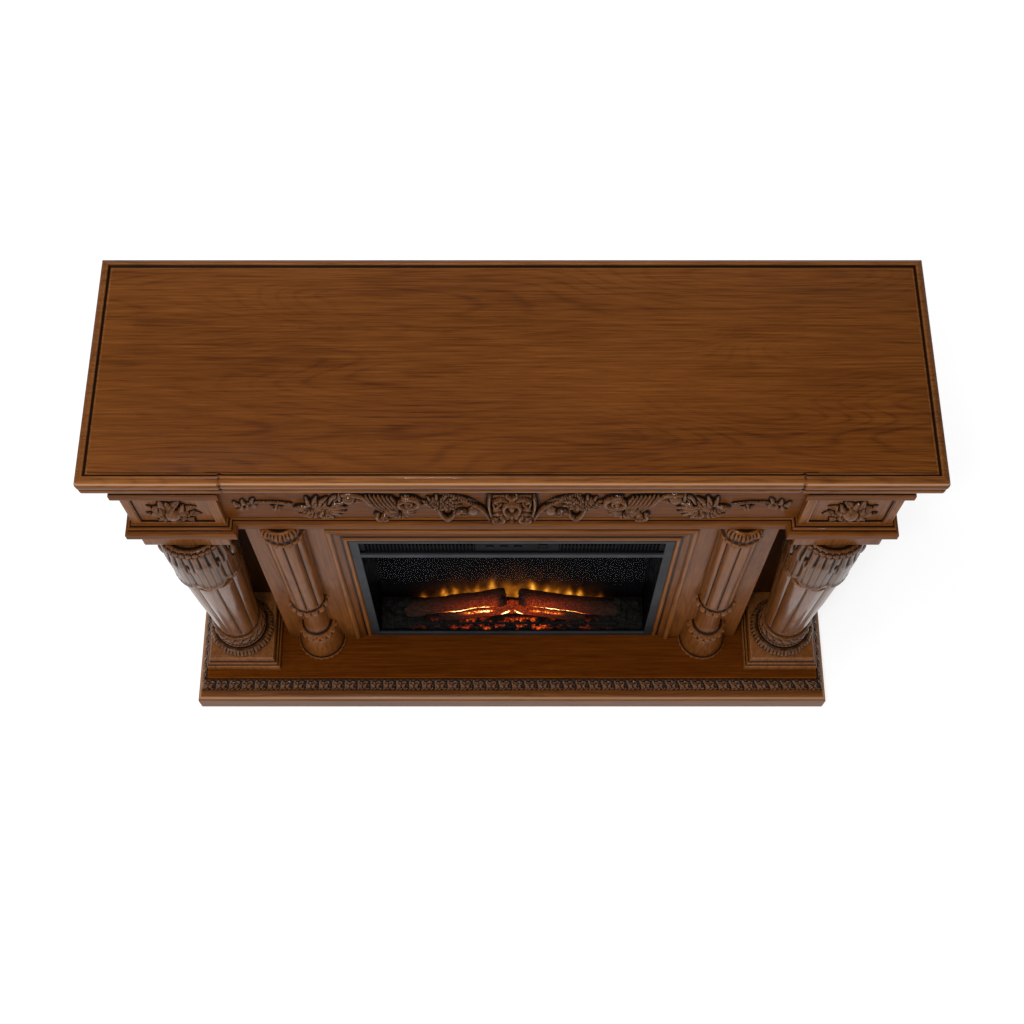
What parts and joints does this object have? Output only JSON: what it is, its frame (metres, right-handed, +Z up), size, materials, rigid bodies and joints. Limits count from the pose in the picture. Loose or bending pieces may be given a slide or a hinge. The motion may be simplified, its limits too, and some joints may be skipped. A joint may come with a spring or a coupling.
{
  "type": "electric fireplace",
  "caption": "Free-standing electric fireplace: a carved stained-wood mantel with turned columns, a shelf and a hearth around a glass-fronted heater with logs and rotor flames.",
  "frame": {"origin": "centre of the footprint, on the floor under the hearth slab", "axes": "+X to the right seen from the front, along the mantel; -Y is the front with the glass, +Y the wall side; +Z up"},
  "size_m": [1.4996, 0.53, 1.1],
  "materials": {
    "stained_wood": "satin lacquer",
    "carved_wood": "satin lacquer, dark glaze in the hollows",
    "veneered_board": "satin lacquer",
    "backing_board": "raw board",
    "black_metal": "satin",
    "dark_plastic": "satin",
    "galvanised_sheet": "satin",
    "heater_metal": "satin",
    "circuit_board": "satin",
    "clear_glass": "polished",
    "smoked_screen": "polished",
    "charred_resin": "matte",
    "ember_resin": "matte, lit from behind"
  },
  "bodies": {
    "mantel": {"shelf_rim": "stained_wood", "cornice_moulding": "stained_wood", "architrave_moulding": "stained_wood", "frieze_panel": "stained_wood", "corner_block_right": "stained_wood", "corner_block_left": "stained_wood", "column_plinth_right": "stained_wood", "column_plinth_left": "stained_wood", "column_abacus_right": "stained_wood", "column_abacus_left": "stained_wood", "column_shaft_right": "stained_wood", "column_shaft_left": "stained_wood", "inner_column_right": "stained_wood", "inner_column_left": "stained_wood", "pilaster_board_right": "stained_wood", "pilaster_board_left": "stained_wood", "wing_panel_right": "stained_wood", "wing_panel_left": "stained_wood", "side_panel_right": "stained_wood", "side_panel_left": "stained_wood", "lintel_board": "stained_wood", "trim_right": "stained_wood", "trim_left": "stained_wood", "trim_top": "stained_wood", "hearth_slab": "stained_wood", "frieze_carving": "carved_wood", "block_rosette_right": "carved_wood", "block_rosette_left": "carved_wood", "column_base_right": "carved_wood", "column_base_left": "carved_wood", "column_capital_right": "carved_wood", "column_capital_left": "carved_wood", "hearth_carved_moulding": "carved_wood", "shelf_board": "veneered_board", "hearth_platform": "veneered_board", "back_panel": "backing_board", "insert_bezel": "black_metal", "outlet_grille": "black_metal", "fire_grate": "black_metal", "control_panel": "dark_plastic", "cable_gland": "dark_plastic", "insert_casing": "galvanised_sheet", "rotor_motor": "galvanised_sheet", "heater_housing": "galvanised_sheet", "blower_motor": "galvanised_sheet", "heating_element": "heater_metal", "led_board": "circuit_board", "glass_pane": "clear_glass", "flame_screen": "smoked_screen", "log_upper_right": "charred_resin", "log_upper_left": "charred_resin", "log_lower": "charred_resin", "ember_bed": "ember_resin"},
    "flame_rotor": {"flame_rotor": "galvanised_sheet"},
    "blower_wheel": {"blower_wheel": "dark_plastic"},
    "button_power": {"button_power": "dark_plastic"},
    "button_flame": {"button_flame": "dark_plastic"},
    "button_heat": {"button_heat": "dark_plastic"},
    "rocker_switch": {"rocker_switch": "dark_plastic"}
  },
  "joints": [
    {"name": "flame_rotor_spin", "type": "hinge", "parent": "mantel", "child": "flame_rotor", "pos_m": [0, 0.016, 0.205], "axis": [1, 0, 0], "continuous": true},
    {"name": "blower_wheel_spin", "type": "hinge", "parent": "mantel", "child": "blower_wheel", "pos_m": [0, 0.002, 0.636], "axis": [1, 0, 0], "continuous": true},
    {"name": "button_power_press", "type": "slide", "parent": "mantel", "child": "button_power", "axis": [0, 1, 0], "range_m": [0, 0.0015], "stiffness_N_per_m": 300},
    {"name": "button_flame_press", "type": "slide", "parent": "mantel", "child": "button_flame", "axis": [0, 1, 0], "range_m": [0, 0.0015], "stiffness_N_per_m": 300},
    {"name": "button_heat_press", "type": "slide", "parent": "mantel", "child": "button_heat", "axis": [0, 1, 0], "range_m": [0, 0.0015], "stiffness_N_per_m": 300},
    {"name": "rocker_switch_tilt", "type": "hinge", "parent": "mantel", "child": "rocker_switch", "pos_m": [0.062, -0.1157, 0.638], "axis": [1, 0, 0], "range_deg": [0, 16]}
  ]
}
